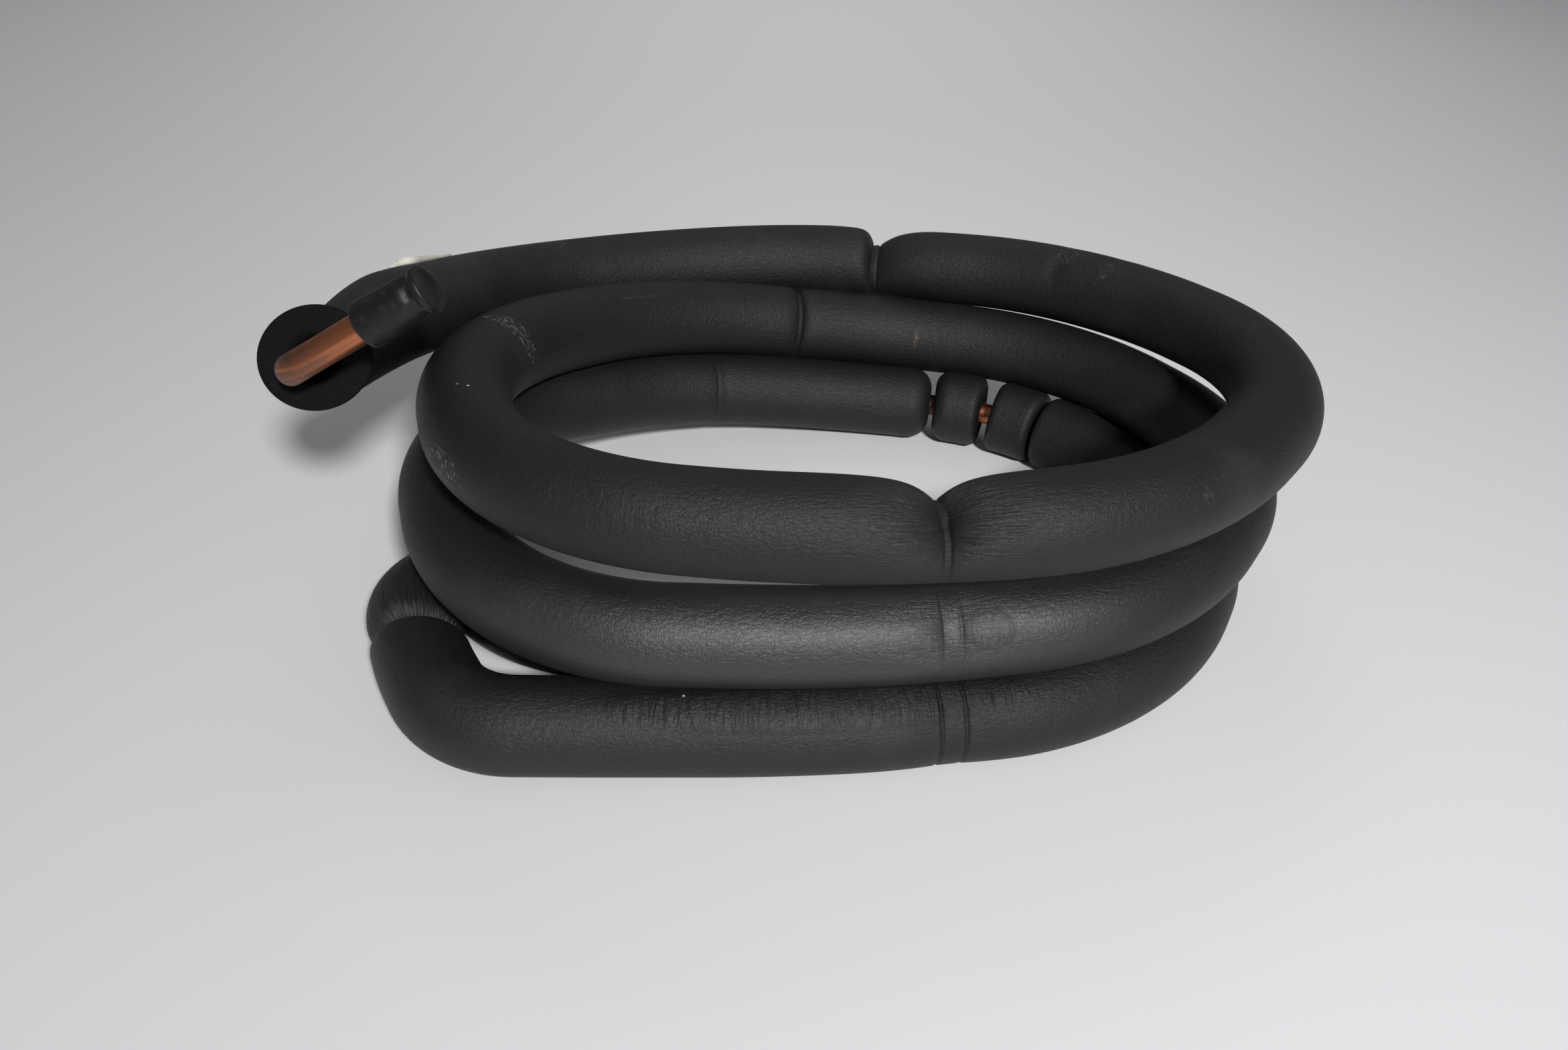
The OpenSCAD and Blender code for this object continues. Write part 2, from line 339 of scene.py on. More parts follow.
class Net:
    """The nodes of one material, around a Principled shader."""

    def __init__(self, name):
        self.material = bpy.data.materials.new(name)
        self.material.use_nodes = True
        self.tree = self.material.node_tree
        self.shader = self.tree.nodes["Principled BSDF"]

    def put(self, socket, value):
        if isinstance(value, Wire):
            self.tree.links.new(value.socket, socket)
        elif socket.type == "RGBA":
            socket.default_value = (*value, 1.0)
        else:
            socket.default_value = value

    def node(self, kind, settings=None, inputs=None, out=0):
        """Adds a node: its settings first, then the values or links of its sockets."""
        node = self.tree.nodes.new(kind)
        for name, value in (settings or {}).items():
            setattr(node, name, value)
        for key, value in (inputs or {}).items():
            self.put(node.inputs[key], value)
        return Wire(self, node.outputs[out])

    def uv(self, name):
        return self.node("ShaderNodeUVMap", {"uv_map": name})

    def place(self):
        return self.node("ShaderNodeTexCoord", out="Object")

    def attribute(self, name):
        return self.node("ShaderNodeAttribute", {"attribute_name": name}, out="Fac")

    def parts(self, vector):
        split = self.node("ShaderNodeSeparateXYZ", inputs={0: vector})
        return split, Wire(self, split.socket.node.outputs[1])

    def stretch(self, vector, scale):
        return self.node("ShaderNodeVectorMath", {"operation": "MULTIPLY"}, {0: vector, 1: scale})

    def noise(self, vector, scale, detail=2.0, roughness=0.5, distortion=0.0):
        values = {
            "Vector": vector,
            "Scale": scale,
            "Detail": detail,
            "Roughness": roughness,
            "Distortion": distortion,
        }
        return self.node("ShaderNodeTexNoise", {}, values)

    def lines(self, vector, along, around, detail=2.0, roughness=0.5, distortion=0.0):
        """Noise that is drawn out along or around the tube, by its scale each way."""
        return self.noise(self.stretch(vector, (along, around, 1.0)), 1.0, detail, roughness, distortion)

    def cells(self, vector, scale):
        return self.node("ShaderNodeTexVoronoi", {"feature": "F1"}, {"Vector": vector, "Scale": scale})

    def mix(self, factor, a, b):
        return self.node("ShaderNodeMix", {"data_type": "RGBA"}, {0: factor, 6: a, 7: b}, out=2)

    def bump(self, height, distance):
        return self.node("ShaderNodeBump", {}, {"Height": height, "Distance": distance})

    def finish(self, **sockets):
        for name, value in sockets.items():
            self.put(self.shader.inputs[name.replace("_", " ")], value)
        return self.material


class Spot:
    """A place on the foam that carries a mark: wear, specks, ribs, scuffs, a painted sheen and painted glints.

    It has a distance along the tube in millimetres and an angle round it in degrees, half of its length and
    half of its width in millimetres, and a strength.
    """

    FADE = (1.3, 0.4)

    def __init__(self, at, angle, along, around, strength):
        self.at = at * MM
        self.around_at = math.radians(angle) * FOAM_R
        self.along = along * MM
        self.around = around * MM
        self.strength = strength

    def mask(self, u, v):
        away = ((u - self.at) / self.along) ** 2 + ((v - self.around_at) / self.around) ** 2
        return away.ramp(*self.FADE) * self.strength


def masks(spots, u, v):
    return sum(spot.mask(u, v) for spot in spots)


# Where the skin has pale lines, is rubbed smooth and given a painted sheen, is squashed and given painted
# glints on its crinkles, is specked with chalk, ribbed and scuffed brown
STRETCHED = (Spot(1133, 130, 6, 17, 1.0),)
# The rubbed-smooth places are smoother and coated, and their colour is lightened as a painted sheen
POLISHED_SHEEN = (
    Spot(1800, 33, 110, 17, 1.0),
    Spot(2730, 33, 110, 15, 0.2),
)
# The squashed places get more wrinkles, and pale lines painted on as glints
CRUSHED_GLINTING = (
    Spot(1034, 8, 12, 6, 1.0),
    Spot(268, 92, 5, 12, 0.2),
    Spot(534, 102, 6, 9, 0.25),
    Spot(558, 115, 4, 8, 0.2),
)
CHALKED = (
    Spot(1060, 83, 0.7, 0.6, 0.3),
    Spot(1057, 94, 0.6, 0.6, 0.9),
    Spot(2710, 81, 0.5, 0.5, 0.8),
)
RIBBED = (
    Spot(2665, 66, 80, 9, 1.0),
    Spot(1742, 38, 8, 7, 0.7),
)
SCUFFED = (
    Spot(1374, 160, 1.6, 4.5, 0.4),
    Spot(788, 33, 2.2, 3.5, 0.15),
    Spot(1222, 120, 14, 1.2, 0.12),
)


def foam_finish(foam):
    """The skin of black closed-cell foam: finely wrinkled, with long wrinkles that fan from strap marks."""
    net = Net("black_foam_skin")
    along = net.uv("along_tube")
    place = net.place()

    # The way round is counted from half a turn below 0 to half a turn above it, so a spot can lie across 0
    u, v = net.parts(along)
    v = v - FOAM_ROUND * (v > FOAM_ROUND / 2)
    stretched = masks(STRETCHED, u, v)
    polished_and_painted_sheen = masks(POLISHED_SHEEN, u, v)
    crushed_and_glinting = masks(CRUSHED_GLINTING, u, v)
    chalked = masks(CHALKED, u, v)
    ribbed = masks(RIBBED, u, v)
    scuffed = masks(SCUFFED, u, v)

    grain = net.noise(place, 1500.0, 2.0, 0.6)
    patches = net.noise(place, 26.0, 3.0, 0.55)
    broken = net.noise(place, 700.0, 2.0, 0.6).ramp(0.42, 0.62)
    leather = net.lines(along, 430.0, 900.0, 3.0, 0.6, 0.7)
    cross_lines = net.lines(along, 900.0, 150.0, distortion=0.6)
    fan_lines = net.lines(along, 60.0, 1000.0, distortion=0.5)
    ribs = net.lines(along, 420.0, 70.0, distortion=0.5)
    stretch_and_glint_lines = net.lines(along, 1400.0, 260.0).ramp(0.5, 0.6)

    pinch = net.attribute("pinch") + 0.5 * crushed_and_glinting
    ridges = (1 - 2.2 * abs(fan_lines - 0.5)) ** 3
    skin = 1.2 * leather + 0.7 * grain + 0.55 * cross_lines * patches.ramp(0.42, 0.62)
    normal = net.bump(skin + 2.6 * ridges * pinch + 4.0 * ribs * ribbed, 0.34 * MM)

    # Lightening towards the pale skin colour: random pale patches, and painted highlights on the ridges of the
    # fanned and folded wrinkles
    worn_and_painted_sheen = patches.ramp(0.55, 0.8) * 0.05 + 0.12 * pinch * ridges + 0.45 * pinch.ramp(1.1, 1.9) * ridges
    # Then a painted sheen on the rubbed-smooth places, real pale stretch lines, and the same lines as painted
    # glints on the squashed places
    worn_and_painted_sheen = worn_and_painted_sheen + 0.09 * polished_and_painted_sheen + 1.4 * (stretched + crushed_and_glinting) * stretch_and_glint_lines * broken
    tone = net.mix(worn_and_painted_sheen, foam.skin, foam.dust_and_sheen)
    tone = net.mix(scuffed * broken, tone, foam.scuff)
    tone = net.mix(chalked, tone, foam.chalk)
    roughness = 0.47 + 0.10 * patches + 0.10 * leather - 0.17 * polished_and_painted_sheen
    return net.finish(
        Base_Color=tone,
        Roughness=roughness,
        Normal=normal,
        Specular_IOR_Level=0.45,
        Coat_Weight=0.4 * polished_and_painted_sheen,
        Coat_Roughness=0.5,
    )


def cut_finish(foam):
    """Cut foam: open pores that hold little light."""
    net = Net("black_foam_cut")
    place = net.place()
    pores = net.cells(place, 1300.0)
    rough_cut = net.noise(place, 240.0, 3.0, 0.6)
    tone = net.mix(pores.ramp(0.1, 0.6) * rough_cut, foam.cut, foam.skin)
    roughness = 0.82 + 0.15 * rough_cut
    normal = net.bump(pores + 0.6 * rough_cut, 0.3 * MM)
    return net.finish(Base_Color=tone, Roughness=roughness, Normal=normal, Specular_IOR_Level=0.12)


def copper_finish(tube):
    """Drawn copper tube: long stripes of clean and brown copper painted on as reflections, and brown where it
    was bent.
    """
    net = Net("drawn_copper")
    along = net.uv("along_tube")
    brown = net.attribute("dullness")
    # Stripes along the tube in clean and brown copper: painted reflection
    painted_reflection_bands = net.lines(along, 9.0, 210.0)
    streaks = net.lines(along, 35.0, 900.0, 3.0, 0.55)
    blotches = net.noise(net.place(), 150.0, 3.0, 0.6)
    dull_and_painted_reflection = 0.62 * brown + 1.5 * (painted_reflection_bands - 0.5) + 0.5 * (streaks - 0.5) + 0.9 * brown * (blotches - 0.4)
    dull_and_painted_reflection = dull_and_painted_reflection.ramp(-0.1, 0.8)
    tone = net.mix(dull_and_painted_reflection, tube.bright, tube.dull_and_painted_reflection)
    roughness = 0.30 + 0.20 * dull_and_painted_reflection + 0.12 * streaks
    normal = net.bump(streaks + 0.4 * blotches, 0.06 * MM)
    return net.finish(Base_Color=tone, Roughness=roughness, Normal=normal, Metallic=1.0)


def cap_finish(cap):
    """Soft black plastic, slightly scuffed."""
    net = Net("soft_black_plastic")
    place = net.place()
    scuffs = net.noise(place, 320.0, 3.0, 0.6)
    grain = net.noise(place, 1900.0)
    tone = net.mix(scuffs.ramp(0.5, 0.8) * 0.25, cap.plastic, cap.scuff)
    roughness = 0.36 + 0.2 * scuffs
    normal = net.bump(grain + 0.8 * scuffs, 0.05 * MM)
    return net.finish(Base_Color=tone, Roughness=roughness, Normal=normal, Specular_IOR_Level=0.4)


def tape_finish(tape):
    """Cream paper tape with faint creases."""
    net = Net("cream_tape")
    place = net.place()
    fibre = net.noise(place, 900.0, 3.0, 0.6)
    creases = net.noise(place, 150.0)
    tone = net.mix(creases.ramp(0.45, 0.75) * 0.5, tape.paper, tape.crease)
    roughness = 0.72 + 0.1 * fibre
    normal = net.bump(fibre + creases, 0.08 * MM)
    return net.finish(Base_Color=tone, Roughness=roughness, Normal=normal)


def floor_finish(stage):
    """Plain pale floor."""
    net = Net("pale_floor")
    clouds = net.noise(net.place(), 2.5)
    tone = net.mix(clouds * 0.12, stage.floor, stage.cloud)
    return net.finish(Base_Color=tone, Roughness=0.62 + 0.08 * clouds)


# Meshes

def ring_mesh(name, rings, travel, round_length, values, wrap=True, first_faces=None):
    """A skin over rings of points, with a UV map of the travel along them and the way round them.

    With wrap, the last ring joins the first; without it, the first and last rings are filled. Faces of rings
    outside the range first_faces take the second material.
    """
    count, sides = rings.shape[:2]
    rows = count if wrap else count - 1
    i, k = (part.ravel() for part in np.meshgrid(np.arange(rows), np.arange(sides), indexing="ij"))
    j = (i + 1) % count
    m = (k + 1) % sides
    faces = np.stack((i * sides + k, i * sides + m, j * sides + m, j * sides + k), axis=1).tolist()
    if not wrap:
        faces.append(list(range(sides - 1, -1, -1)))
        faces.append(list(range((count - 1) * sides, count * sides)))
    mesh = bpy.data.meshes.new(name)
    mesh.from_pydata(rings.reshape(-1, 3).tolist(), [], faces)
    mesh.shade_smooth()
    if first_faces is not None:
        second = (i < first_faces[0]) | (i >= first_faces[1])
        mesh.polygons.foreach_set("material_index", second.astype(np.int32))
    u = np.stack((travel[i], travel[i], travel[j], travel[j]), axis=1)
    v = np.stack((k, k + 1, k + 1, k), axis=1) * (round_length / sides)
    flat = np.zeros((len(mesh.loops), 2))
    flat[: u.size] = np.stack((u.ravel(), v.ravel()), axis=1)
    mesh.uv_layers.new(name="along_tube").data.foreach_set("uv", flat.ravel())
    for key, value in values.items():
        attribute = mesh.attributes.new(key, "FLOAT", "POINT")
        attribute.data.foreach_set("value", np.ascontiguousarray(value, float).ravel())
    return mesh


def add_piece(name, mesh, material, slot, *nodes):
    """Puts a mesh in the scene as a piece that stands for CAD nodes."""
    piece = bpy.data.objects.new(name, mesh)
    mesh.materials.append(material)
    bpy.context.scene.collection.objects.link(piece)
    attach(piece, BODY)
    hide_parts(*nodes)
    return piece


def spaced(start, end, step, finer):
    """Distances from start to end, closer together inside the finer rows of middle, half width and step."""
    marks = [start]
    while marks[-1] < end:
        here = marks[-1]
        steps = [fine for middle, half, fine in finer if abs(here - middle) < half]
        marks.append(here + min([step, *steps]))
    scale = (end - start) / (marks[-1] - start)
    return start + (np.array(marks) - start) * scale


class StrapMark:
    """The hollow that a strap has left: a flat band with creased edges, and foam that swells up beside it.

    The foam swells by a steep part and a slow one. The mark is deepest at an angle, and has a share of that
    depth all round.
    """

    CREASE_WIDTH = 0.5 * MM
    CREASE_ROUND = 2.5
    FAN_FROM = 4 * MM
    FAN_REACH = 13 * MM

    def __init__(self, at, band, steep, reach, slow, slow_reach, side, share, crease, fan):
        self.at = at
        self.band = band * MM
        self.steep = steep * MM
        self.reach = (reach[0] * MM, reach[1] * MM)
        self.slow = slow * MM
        self.slow_reach = slow_reach * MM
        self.side = math.radians(side)
        self.share = share
        self.crease = crease * MM
        self.fan = fan

    def round_share(self, a):
        return np.clip(self.share + (1 - self.share) * np.cos(a - self.side), 0, 1)

    def hollow(self, s, a):
        edge = np.abs(s - self.at) - self.band / 2
        away = np.maximum(edge, 0)
        reach = np.where(s < self.at, *self.reach)
        steep = self.steep * np.exp(-away / reach)
        slow = self.slow * np.clip(1 - away / self.slow_reach, 0, 1) ** 2
        share = self.round_share(a)
        crease = self.crease * bell(edge, self.CREASE_WIDTH) * np.clip(self.CREASE_ROUND * share, 0, 1)
        return share * (steep + slow) + crease

    def fanned(self, s, a):
        away = np.abs(s - self.at)
        fade = np.exp(-away / self.FAN_REACH) * np.clip(away / self.FAN_FROM, 0, 1)
        return self.fan * fade * self.round_share(a)


def strap_marks(route, foam):
    """The six strap marks, two on each turn.

    Each row has a turn, an eighth of it, a shift from there, and then what StrapMark takes: the band's width,
    the steep depth and its reach before and after, the slow depth and its reach, the deepest angle, the share
    all round, the crease's depth and the strength of the fan of wrinkles. Lengths are in millimetres.
    """
    deep = foam.mark_deep / MM
    light = foam.mark_shallow / MM
    rows = (
        (0, 0, 11, 3.0, 0.82 * deep, (2.2, 9), 0.12 * deep, 28, 100, 0.5, 0.7, 0.3),
        (0, 4, -20, 1.6, 0.85 * deep, (5.5, 6.5), 0.27 * deep, 45, 80, 0.42, 0.9, 1.0),
        (1, 0, -31, 1.2, 0.9 * light, (3, 2), 0.5 * light, 9, 140, 0.1, 1.2, 0.15),
        (1, 4, -26, 6.0, 0.55 * light, (6, 4), 0.2 * light, 20, 40, -0.6, 0.25, 0.5),
        (2, 0, -71, 3.5, 0.4 * light, (3, 3), 0.0, 9, 155, 0.0, 0.25, 0.0),
        (2, 4, -30, 8.6, 0.3 * light, (5, 9), 0.5 * light, 28, 25, 0.1, 1.0, 0.2),
    )
    marks = []
    for turn, eighth, shift, *row in rows:
        marks.append(StrapMark(route.turn_at(turn, eighth) + shift * MM, *row))
    return marks


class Cut(NamedTuple):
    """A cut end of a sleeve: its distance, how far its edge is rounded, and its slope towards an angle."""

    at: float
    edge: float
    slope: float = 0.0
    side: float = 0.0


# How finely the foam is made: its sides, and its rings on the skin, at strap marks, in the bore and at cuts
FOAM_SIDES = 72
FOAM_STEP = 2.3 * MM
MARK_STEP = 0.45 * MM
MARK_HALF = 14 * MM
BORE_STEP = 9 * MM
BORE_RINGS = 4
EDGE_RINGS = 7
CUT_RINGS = 4
CUT_TRAVEL = 2 * MM

# The foam's soft forms: how deep a hollow may be, how much bore is kept, and the forms near the cuts
DEEPEST = 11.6 * MM
BORE_KEPT = 0.98
SWAY = 0.10 * MM
SWAY_LENGTHS = (31 * MM, 19 * MM)
SWAY_SHIFT = 1.3
MOUTH_LENGTH = 14 * MM
LIP_LENGTH = 6.5 * MM
LIP_EDGE = 1.7 * MM
NECK_LENGTH = 56 * MM
NECK_FADE = 1.5
NECK_SIDE = math.radians(80)
FOLD_LENGTH = 9 * MM
FOLD_DEPTH = 0.35 * MM
FOLD_COUNT = 22
FOLD_SIDE = math.radians(110)
FOLD_SHARE = 0.3
FOLD_WRINKLES = 2.2
LEAN_LENGTH = 24 * MM
SET_OFF_LENGTH = 12 * MM

# Shallow dents: distance, angle, length, spread and depth, in millimetres and degrees
DENTS = ((532, 122, 4, 32, 1.3), (558, 98, 3, 22, 0.8))


def sleeve_profile(foam, marks, near, far, capped):
    """Distances and radii of a sleeve's rings, and how many of them are its skin.

    They run along the skin, down the far cut, back through the bore and up the near cut.
    """
    rise = np.linspace(0, math.pi / 2, EDGE_RINGS)
    fall = rise[::-1]
    finer = [(m.at, MARK_HALF, MARK_STEP) for m in marks if near.at < m.at < far.at]
    body = spaced(near.at + near.edge, far.at - far.edge, FOAM_STEP, finer)[1:-1]
    inner = np.linspace(far.at, near.at, max(BORE_RINGS, int((far.at - near.at) / BORE_STEP)))
    bore = np.full(len(inner), foam.bore / 2)
    if capped:
        bore += foam.mouth * np.clip(1 - (inner - near.at) / MOUTH_LENGTH, 0, 1)
    near_rim = FOAM_R - near.edge
    far_rim = FOAM_R - far.edge
    cut_steps = np.linspace(0, 1, CUT_RINGS + 2)[1:-1]
    rows = (
        (near.at + near.edge * (1 - np.cos(rise)), FOAM_R - near.edge * (1 - np.sin(rise))),
        (body, np.full(len(body), FOAM_R)),
        (far.at - far.edge * (1 - np.cos(fall)), FOAM_R - far.edge * (1 - np.sin(fall))),
        (np.full(CUT_RINGS, far.at), far_rim + (bore[0] - far_rim) * cut_steps),
        (inner, bore),
        (np.full(CUT_RINGS, near.at), bore[-1] + (near_rim - bore[-1]) * cut_steps),
    )
    s, r = (np.concatenate(column) for column in zip(*rows))
    return s, r, 2 * EDGE_RINGS + len(body)


def sleeve_mesh(name, route, foam, marks, near, far, capped, crumpled):
    """One foam sleeve between two cuts.

    A capped one draws in behind its near cut, which stands off the tube. A crumpled one is folded there.
    """
    s, r, skin = sleeve_profile(foam, marks, near, far, capped)
    bore = foam.bore / 2
    angles = round_angles(FOAM_SIDES)
    grid_s = s[:, None]
    grid_a = angles[None, :]
    from_near = grid_s - near.at
    relief = ((r - bore) / (FOAM_R - bore)).clip(0, 1)[:, None]

    hollow = sum(m.hollow(grid_s, grid_a) for m in marks)
    for at, angle, length, spread, depth in DENTS:
        turned = (np.degrees(grid_a) - angle + 180) % 360 - 180
        hollow = hollow + depth * MM * bell(grid_s - at * MM, length * MM) * bell(turned, spread)
    sway = np.sin(grid_s / SWAY_LENGTHS[0] + 2 * grid_a)
    sway = sway + np.sin(grid_s / SWAY_LENGTHS[1] - grid_a + SWAY_SHIFT)
    radius = r[:, None] - relief * np.minimum(hollow, DEEPEST) + relief * SWAY * sway
    # The pinch sets how strong the fanned wrinkles are, both in bumps and in painted highlights on their ridges
    pinch = sum(m.fanned(grid_s, grid_a) for m in marks)
    if capped:
        past_lip = from_near - LIP_LENGTH
        draw_in = 0.5 + 0.5 * np.tanh(past_lip / (2 * LIP_EDGE))
        draw_in = draw_in * np.clip(1 - past_lip / NECK_LENGTH, 0, 1) ** NECK_FADE
        radius -= relief * foam.neck * draw_in * (0.5 + 0.5 * np.cos(grid_a - NECK_SIDE))
    if crumpled:
        folded = np.exp(-from_near / FOLD_LENGTH) * np.clip(FOLD_SHARE + np.cos(grid_a - FOLD_SIDE), 0, 1)
        radius += relief * folded * FOLD_DEPTH * np.sin(FOLD_COUNT * grid_a + 2 * np.sin(3 * grid_a))
        pinch = pinch + FOLD_WRINKLES * folded
    pinch[skin:] = 0
    radius = np.maximum(radius, bore * BORE_KEPT)

    ahead = 0
    for cut in (near, far):
        fade = np.clip(1 - np.abs(grid_s - cut.at) / LEAN_LENGTH, 0, 1)
        ahead = ahead + cut.slope * fade * np.cos(grid_a - math.radians(cut.side))
    rings = route.rings(s, radius, angles, ahead * radius)
    if capped:
        set_off = np.clip(1 - from_near / SET_OFF_LENGTH, 0, 1)
        rings += set_off[:, :, None] * np.array(foam.set_off)
    travel = np.concatenate((s[:skin], s[skin - 1] + np.cumsum(np.full(len(s) - skin, CUT_TRAVEL))))
    first_faces = (EDGE_RINGS if capped else 0, skin - 1)
    return ring_mesh(name, rings, travel, FOAM_ROUND, {"pinch": pinch}, first_faces=first_faces)


# How finely the tube is made, how its ends are eased and its tip is bent oval, where it is tarnished, and how
# much browner and duller it is made in the first gap between sleeves
TUBE_SIDES = 48
TUBE_STEP = 6 * MM
TIP_STEP = 1.2 * MM
TIP_MARGIN = 12 * MM
STUB_STEP = 1.5 * MM
STUB_MARGIN = 8 * MM
INSIDE_SKIP = 4
END_EASE = 0.25 * MM
OVAL = 0.035
OVAL_BEFORE_FOAM = 12 * MM
OVAL_LENGTH = 9 * MM
TARNISH_FROM = 22 * MM
TARNISH_RISE = 32 * MM
TARNISH_UNDER_FOAM = 0.05
GAP_DULLING = 2
GAP_BEFORE_SHORT = 2 * MM
GAP_LENGTH = 9 * MM


def tube_mesh(route, tube, foam_start):
    """The copper tube, closed at both ends of its wall."""
    outer_r = tube.diameter / 2
    near_tip = (0, foam_start + TIP_MARGIN, TIP_STEP)
    near_stub = (route.length, tube.stub + STUB_MARGIN, STUB_STEP)
    out = spaced(0.0, route.length, TUBE_STEP, (near_tip, near_stub))
    back = out[::-INSIDE_SKIP]
    if back[-1] > 0:
        back = np.append(back, 0.0)
    s = np.concatenate((out, back))
    r = np.concatenate((np.full(len(out), outer_r), np.full(len(back), outer_r - tube.wall)))
    r[[0, len(out) - 1]] -= END_EASE
    angles = round_angles(TUBE_SIDES)
    bend = bell(s - foam_start + OVAL_BEFORE_FOAM, OVAL_LENGTH)[:, None]
    radius = r[:, None] * (1 + OVAL * bend * np.cos(2 * (angles[None, :] - math.pi / 2)))
    dullness = np.clip((s - TARNISH_FROM) / TARNISH_RISE, 0, 1)
    dullness *= np.where(s < foam_start, 1.0, TARNISH_UNDER_FOAM)
    # The copper in the first gap between sleeves is made browner and duller
    gap = route.turn_at(2, 0) + SHORT_FROM - GAP_BEFORE_SHORT
    dullness += GAP_DULLING * bell(s - gap, GAP_LENGTH)
    rings = route.rings(s, radius, angles)
    values = {"dullness": np.repeat(dullness, TUBE_SIDES)}
    return ring_mesh("copper_tube_skin", rings, s, 2 * math.pi * outer_r, values)


# The cap's turned outline, as radius and height in millimetres for a cap of the given radius: from the middle
# of its closed end to its mouth, and then down its bore to the floor
CAP_SIDES = 72
CAP_OUTLINE_R = 7.5
CAP_OUTSIDE = (
    (0.05, 1.1), (2.5, 1.1), (5.0, 0.9), (5.7, 0.5), (6.2, 0.1), (6.7, 0.0), (7.2, 0.15), (7.45, 0.6),
    (7.5, 1.2), (7.4, 1.8), (7.1, 2.3), (6.6, 2.9), (6.25, 3.6), (6.2, 4.3), (6.4, 5.1), (6.75, 5.9),
    (7.0, 6.8), (7.1, 8.0), (7.3, 14.0), (7.55, 20.0), (7.65, 23.6), (7.55, 24.3), (7.3, 24.8), (6.9, 25.0),
)
CAP_MOUTH = ((5.9, 25.0), (5.3, 24.7), (5.0, 24.0), (4.92, 20.0))
CAP_FLOOR = ((4.92, 0.4), (4.5, 0.0), (0.05, 0.0))
CAP_NECK_AT = 4.6 * MM
CAP_NECK_WIDTH = 1.6 * MM
CAP_PUCKER = 0.03
CAP_PUCKERS = 9
CAP_PINCH = 0.05


def cap_mesh(route, cap):
    """The cap as a turned shape: dished closed end, rolled rim, pinched neck, body and open mouth."""
    r = cap.diameter / 2
    floor = cap.length - cap.depth
    floor_rows = tuple((x, floor / MM + rise) for x, rise in CAP_FLOOR)
    outline = np.array(CAP_OUTSIDE + CAP_MOUTH + floor_rows)
    radius = outline[:, 0] * (r / CAP_OUTLINE_R)
    height = outline[:, 1] * MM
    angles = round_angles(CAP_SIDES)
    point, way, _, _ = route.at(np.zeros(1))
    out, up = across(way[0])
    neck = bell(height - CAP_NECK_AT, CAP_NECK_WIDTH)[:, None]
    pucker = CAP_PUCKER * np.sin(CAP_PUCKERS * angles[None, :]) - CAP_PINCH * np.cos(2 * angles[None, :])
    spoke = np.cos(angles)[:, None] * out + np.sin(angles)[:, None] * up
    middles = point[0] + (height - floor)[:, None, None] * way[0]
    rings = middles + (radius[:, None] * (1 + neck * pucker))[:, :, None] * spoke
    travel = np.cumsum(np.hypot(np.diff(radius, prepend=0), np.diff(height, prepend=0)))
    return ring_mesh("end_cap_skin", rings, travel, 2 * math.pi * r, {}, wrap=False)


# The tape's two edges, as angles round the foam, how finely it is made, and how it lies on the foam
TAPE_EDGES = (42, 84)
TAPE_ROWS = 31
TAPE_COLUMNS = 13
TAPE_END_ROUND = 10
TAPE_END_WIDTH = 0.3
TAPE_UNDER = 0.1 * MM
TAPE_OVER = 0.35 * MM
TAPE_RIPPLE = 0.12 * MM


def tape_strip(name, route, start, tape):
    """A folded strip with round corners that lies on the foam. It is thickest at its start."""
    first, last = TAPE_EDGES
    along = np.linspace(0, 1, TAPE_ROWS)
    ahead = along[:, None]
    side = np.linspace(0, 1, TAPE_COLUMNS)
    round_ends = (1 - (np.abs(along - 0.5) * 2) ** TAPE_END_ROUND) ** 0.5
    half = (last - first) / 2 * np.maximum(round_ends, TAPE_END_WIDTH)
    angle = np.radians((first + last) / 2 + half[:, None] * (2 * side - 1))
    curl = tape.lift * (1 - ahead) ** 1.5 * (0.35 + 0.65 * side**2)
    rise = FOAM_R + TAPE_OVER + curl + TAPE_RIPPLE * np.sin(9 * ahead + 4 * side)
    under = np.full(rise.shape, FOAM_R + TAPE_UNDER)
    loop_a = np.concatenate((angle, angle[:, ::-1]), axis=1)
    loop_r = np.concatenate((under, rise[:, ::-1] + tape.thickness), axis=1)
    stations = start + along * tape.length
    rows = [route.rings(stations[[i]], loop_r[[i]], loop_a[i])[0] for i in range(TAPE_ROWS)]
    round_length = 2 * math.radians(last - first) * FOAM_R
    return ring_mesh(name, np.array(rows), along * tape.length, round_length, {}, wrap=False)


# Operators

def place_of(context):
    """The route and the distance at which the foam begins."""
    tube = context.scene.coil_tube
    route = build_route(tube.tip_radius)
    return route, route.starts[AFTER_TIP_BEND] + tube.tip_bare


# Lamps: place, target, width in metres and spread in degrees
KEY_LAMP = ((0.36, -1.23, 1.05), (-0.02, 0.4, 0.0), 0.16, 105)
REAR_LAMP = ((0.0, 1.35, 1.4), (0.0, 1.2, 0.0), 1.0, 100)
FLOOR_HALF = 3

# The photograph's viewpoint: lens and frame in millimetres, its slope and roll, and its aim and distance
LENS = 27.453
FRAME_WIDTH = 36.0
LOOK_DOWN = math.radians(35.6)
ROLL = math.radians(2.66)
AIM = (-0.018, 0.008, 0.0)
DISTANCE = 0.5462
CLIP_START = 0.01


